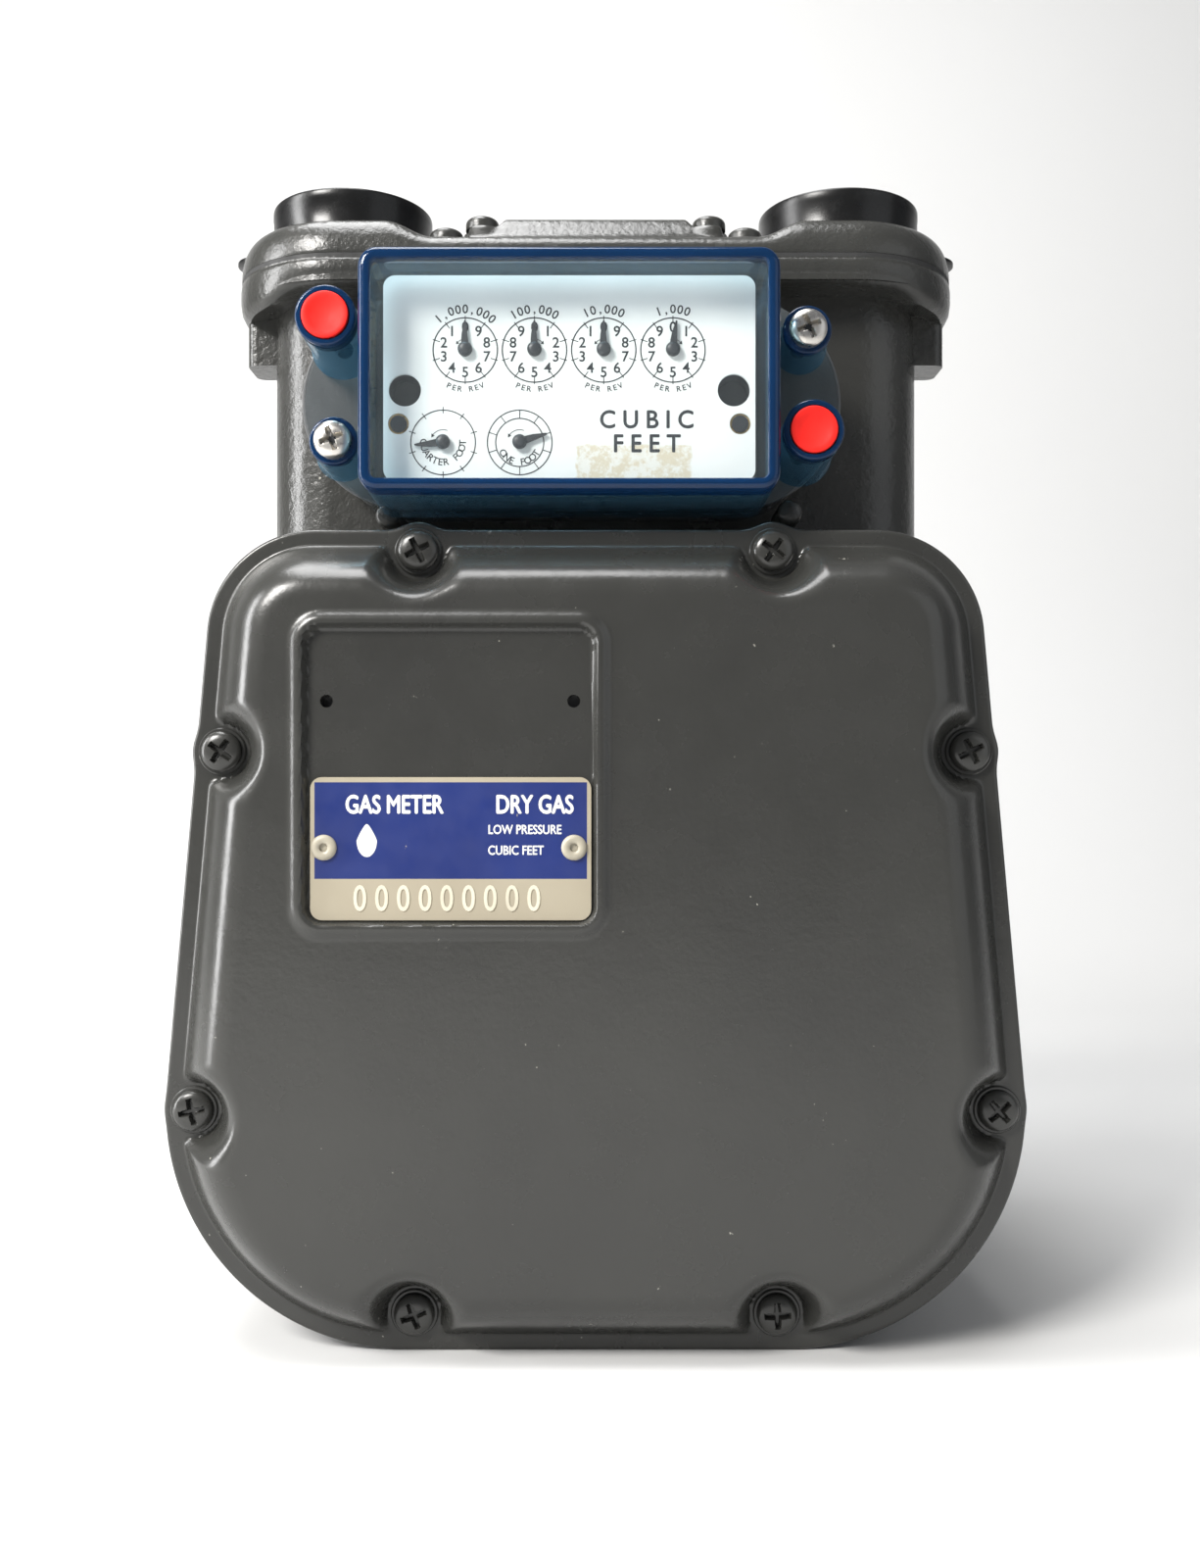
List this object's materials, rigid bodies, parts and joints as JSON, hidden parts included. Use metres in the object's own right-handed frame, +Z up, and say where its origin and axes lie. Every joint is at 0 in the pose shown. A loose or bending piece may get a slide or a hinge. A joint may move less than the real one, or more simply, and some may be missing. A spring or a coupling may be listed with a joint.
{
  "type": "gas meter",
  "caption": "Domestic diaphragm gas meter with a rounded case, twin capped top connections and a clear index box with dials.",
  "frame": {"origin": "centre of the base, on the plane the meter stands on, midway between the front and back covers", "axes": "+Z up through the connections, -Y out of the index face, +X from inlet to outlet"},
  "size_m": [0.2298, 0.176, 0.329],
  "materials": {
    "paint": "semi-gloss grey enamel over cast aluminium",
    "gasket": "matte",
    "steel": "satin",
    "black_plastic": "satin moulded",
    "blue_plastic": "clear tinted polycarbonate",
    "red_plastic": "matte moulded",
    "dark_plastic": "matte",
    "dial": "satin white print",
    "brass": "turned",
    "badge": "anodised and printed",
    "diaphragm": "coated fabric",
    "valve": "phenolic moulding",
    "zinc": "pressed",
    "rod": "ground",
    "pointer": "matte black",
    "gear": "moulded"
  },
  "bodies": {
    "meter": {"back_cover": "paint", "back_diaphragm": "diaphragm", "badge_plate": "badge", "badge_rivets": "steel", "body_casting": "paint", "cover_gaskets": "gasket", "cover_screws": "paint", "crank_bridge": "zinc", "dial_plate": "dial", "dial_plate_screws": "steel", "diaphragm_rings": "zinc", "front_cover": "paint", "front_diaphragm": "diaphragm", "index_base": "dark_plastic", "index_box": "blue_plastic", "index_box_screws": "steel", "index_frame": "brass", "index_pillars": "brass", "inlet_connection": "steel", "outlet_connection": "steel", "outlet_duct": "valve", "rod_steps": "brass", "seal_plugs": "red_plastic", "shaft_bushings": "brass", "top_cover": "paint", "top_cover_screws": "paint", "top_gasket": "gasket", "valve_table": "valve"},
    "inlet_cap": {"inlet_cap": "black_plastic"},
    "outlet_cap": {"outlet_cap": "black_plastic"},
    "crank": {"crank_shaft": "rod"},
    "index_drive": {"index_drive_shaft": "rod", "worm_wheel": "black_plastic", "one_foot_arbor": "gear", "one_foot_pointer": "pointer"},
    "idler": {"idler_arbor": "gear"},
    "quarter_foot": {"quarter_foot_arbor": "gear", "quarter_foot_pointer": "pointer"},
    "thousand": {"thousand_arbor": "gear", "thousand_pointer": "pointer"},
    "ten_thousand": {"ten_thousand_arbor": "gear", "ten_thousand_pointer": "pointer"},
    "hundred_thousand": {"hundred_thousand_arbor": "gear", "hundred_thousand_pointer": "pointer"},
    "million": {"million_arbor": "gear", "million_pointer": "pointer"},
    "ten_foot": {"ten_foot_arbor": "gear"},
    "hundred_foot": {"hundred_foot_arbor": "gear"},
    "front_flag": {"front_flag_rod": "rod", "front_flag": "zinc", "front_flag_arm": "zinc"},
    "front_link": {"front_link": "zinc"},
    "front_pan": {"front_pans": "zinc"},
    "back_flag": {"back_flag_rod": "rod", "back_flag": "zinc", "back_flag_arm": "zinc"},
    "back_link": {"back_link": "zinc"},
    "back_pan": {"back_pans": "zinc"},
    "left_valve": {"left_slide_valve": "valve"},
    "right_valve": {"right_slide_valve": "valve"}
  },
  "joints": [
    {"name": "inlet_cap_pull", "type": "slide", "parent": "meter", "child": "inlet_cap", "axis": [0, 0, 1], "range_m": [0, 0.06]},
    {"name": "outlet_cap_pull", "type": "slide", "parent": "meter", "child": "outlet_cap", "axis": [0, 0, 1], "range_m": [0, 0.06]},
    {"name": "crank_spin", "type": "hinge", "parent": "meter", "child": "crank", "pos_m": [-0.0102, 0, 0.25], "axis": [0, 0, 1], "continuous": true},
    {"name": "index_drive_spin", "type": "hinge", "parent": "meter", "child": "index_drive", "pos_m": [-0.0202, -0.06, 0.2413], "axis": [0, 1, 0], "continuous": true},
    {"name": "idler_spin", "type": "hinge", "parent": "meter", "child": "idler", "pos_m": [-0.03421, -0.06, 0.23798], "axis": [0, 1, 0], "continuous": true},
    {"name": "quarter_foot_spin", "type": "hinge", "parent": "meter", "child": "quarter_foot", "pos_m": [-0.0406, -0.06, 0.2413], "axis": [0, 1, 0], "continuous": true},
    {"name": "ten_foot_spin", "type": "hinge", "parent": "meter", "child": "ten_foot", "pos_m": [-0.00288, -0.06, 0.2476], "axis": [0, 1, 0], "continuous": true},
    {"name": "hundred_foot_spin", "type": "hinge", "parent": "meter", "child": "hundred_foot", "pos_m": [0.01554, -0.06, 0.24818], "axis": [0, 1, 0], "continuous": true},
    {"name": "thousand_spin", "type": "hinge", "parent": "meter", "child": "thousand", "pos_m": [0.02059, -0.06, 0.2659], "axis": [0, 1, 0], "continuous": true},
    {"name": "ten_thousand_spin", "type": "hinge", "parent": "meter", "child": "ten_thousand", "pos_m": [0.00216, -0.06, 0.2659], "axis": [0, 1, 0], "continuous": true},
    {"name": "hundred_thousand_spin", "type": "hinge", "parent": "meter", "child": "hundred_thousand", "pos_m": [-0.01627, -0.06, 0.2659], "axis": [0, 1, 0], "continuous": true},
    {"name": "million_spin", "type": "hinge", "parent": "meter", "child": "million", "pos_m": [-0.0347, -0.06, 0.2659], "axis": [0, 1, 0], "continuous": true},
    {"name": "front_flag_swing", "type": "hinge", "parent": "meter", "child": "front_flag", "pos_m": [-0.08, -0.008, 0.15], "axis": [0, 0, 1], "range_deg": [-7, 7]},
    {"name": "front_link_pivot", "type": "hinge", "parent": "front_flag", "child": "front_link", "pos_m": [-0.05, -0.008, 0.26], "axis": [0, 0, 1], "range_deg": [-7.5, 7.5]},
    {"name": "front_pan_stroke", "type": "slide", "parent": "meter", "child": "front_pan", "axis": [0, 1, 0], "range_m": [-0.0095, 0.0095], "deforming": ["front_diaphragm"]},
    {"name": "back_flag_swing", "type": "hinge", "parent": "meter", "child": "back_flag", "pos_m": [0.08, 0.008, 0.15], "axis": [0, 0, 1], "range_deg": [-7, 7]},
    {"name": "back_link_pivot", "type": "hinge", "parent": "back_flag", "child": "back_link", "pos_m": [0.05, 0.008, 0.26], "axis": [0, 0, 1], "range_deg": [-7.5, 7.5]},
    {"name": "back_pan_stroke", "type": "slide", "parent": "meter", "child": "back_pan", "axis": [0, -1, 0], "range_m": [-0.0095, 0.0095], "deforming": ["back_diaphragm"]},
    {"name": "left_valve_slide", "type": "slide", "parent": "meter", "child": "left_valve", "axis": [1, 0, 0], "range_m": [-0.004, 0.004]},
    {"name": "right_valve_slide", "type": "slide", "parent": "meter", "child": "right_valve", "axis": [1, 0, 0], "range_m": [-0.004, 0.004]}
  ],
  "couplings": [
    {"joint": "index_drive_spin", "follows": "crank_spin", "ratio": 0.1},
    {"joint": "idler_spin", "follows": "crank_spin", "ratio": -0.2},
    {"joint": "quarter_foot_spin", "follows": "crank_spin", "ratio": 0.4},
    {"joint": "ten_foot_spin", "follows": "crank_spin", "ratio": -0.01},
    {"joint": "hundred_foot_spin", "follows": "crank_spin", "ratio": 0.001},
    {"joint": "thousand_spin", "follows": "crank_spin", "ratio": -0.0001},
    {"joint": "ten_thousand_spin", "follows": "crank_spin", "ratio": 0.00001},
    {"joint": "hundred_thousand_spin", "follows": "crank_spin", "ratio": -0.000001},
    {"joint": "million_spin", "follows": "crank_spin", "ratio": 0.0000001},
    {"joint": "front_link_pivot", "follows": "front_flag_swing", "ratio": -1},
    {"joint": "front_pan_stroke", "follows": "front_flag_swing", "m_per_rad": 0.075},
    {"joint": "back_link_pivot", "follows": "back_flag_swing", "ratio": -1},
    {"joint": "back_pan_stroke", "follows": "back_flag_swing", "m_per_rad": 0.075}
  ]
}
